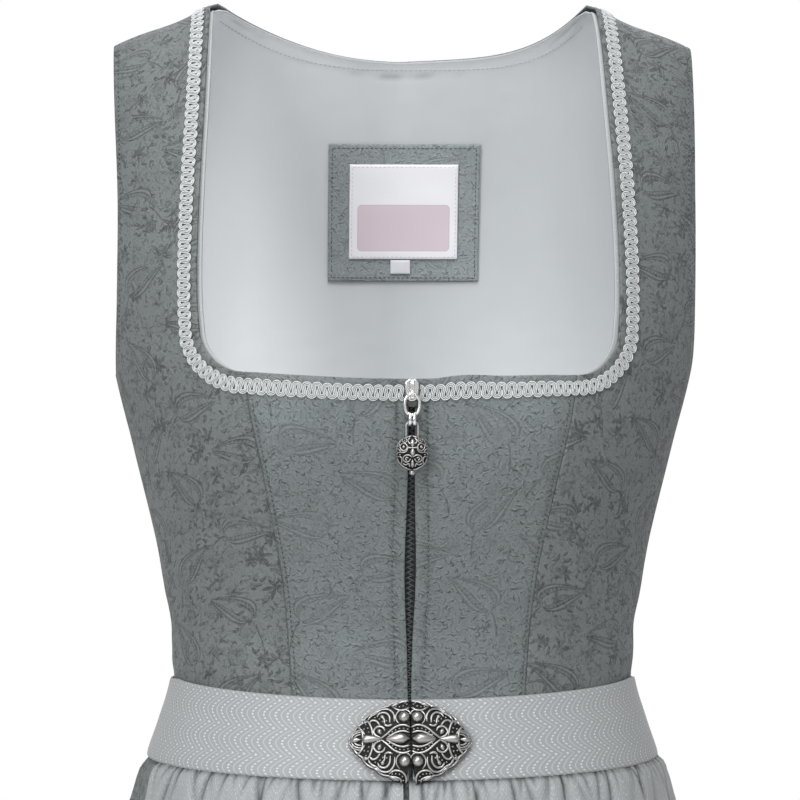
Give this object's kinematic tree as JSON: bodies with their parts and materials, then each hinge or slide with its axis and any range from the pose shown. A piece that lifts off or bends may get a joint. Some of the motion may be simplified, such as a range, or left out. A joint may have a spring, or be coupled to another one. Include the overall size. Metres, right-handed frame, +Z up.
{
  "type": "dirndl",
  "caption": "Sleeveless dirndl with a square braided neckline, front zip with a charm on its pull, gathered skirt and a front-closing apron with a clasp.",
  "frame": {"origin": "midway between the neck ends of the two shoulder seams, where the wearer's shoulders carry the dress", "axes": "+Z up, the front faces -Y, +X towards the wearer's left"},
  "size_m": [0.6912, 0.6392, 0.9695],
  "materials": {
    "jacquard": "matte with a woven tone-on-tone pattern",
    "lining": "smooth matte",
    "apron_satin": "satin with a woven chevron pattern",
    "braid": "silvery looped braid",
    "zip_tape": "matte with a coil",
    "label_cloth": "smooth woven",
    "bright_metal": "bright",
    "old_silver": "blackened in the hollows, polished on the heights"
  },
  "bodies": {
    "dress": {"front_left": "jacquard", "front_right": "jacquard", "side_front_left": "jacquard", "side_front_right": "jacquard", "side_back_left": "jacquard", "side_back_right": "jacquard", "back": "jacquard", "lining_front_left": "lining", "lining_front_right": "lining", "lining_side_front_left": "lining", "lining_side_front_right": "lining", "lining_back": "lining", "label_patch": "jacquard", "label_woven": "label_cloth", "label_tag": "label_cloth", "neck_braid_left": "braid", "neck_braid_right": "braid", "zip": "zip_tape", "zip_slider": "bright_metal", "skirt_front": "jacquard", "skirt_back": "jacquard", "apron_band": "apron_satin", "apron_left": "apron_satin", "apron_right": "apron_satin", "clasp_left": "old_silver", "clasp_right": "old_silver"},
    "link": {"pull_link": "bright_metal"},
    "charm": {"pull_charm": "old_silver"}
  },
  "joints": [
    {"name": "link_hinge", "type": "hinge", "parent": "dress", "child": "link", "pos_m": [0, -0.12186, -0.2022], "axis": [-1, 0, 0], "range_deg": [0, 110]},
    {"name": "charm_hinge", "type": "hinge", "parent": "link", "child": "charm", "pos_m": [0, -0.12186, -0.21575], "axis": [-1, 0, 0], "range_deg": [0, 60]}
  ]
}
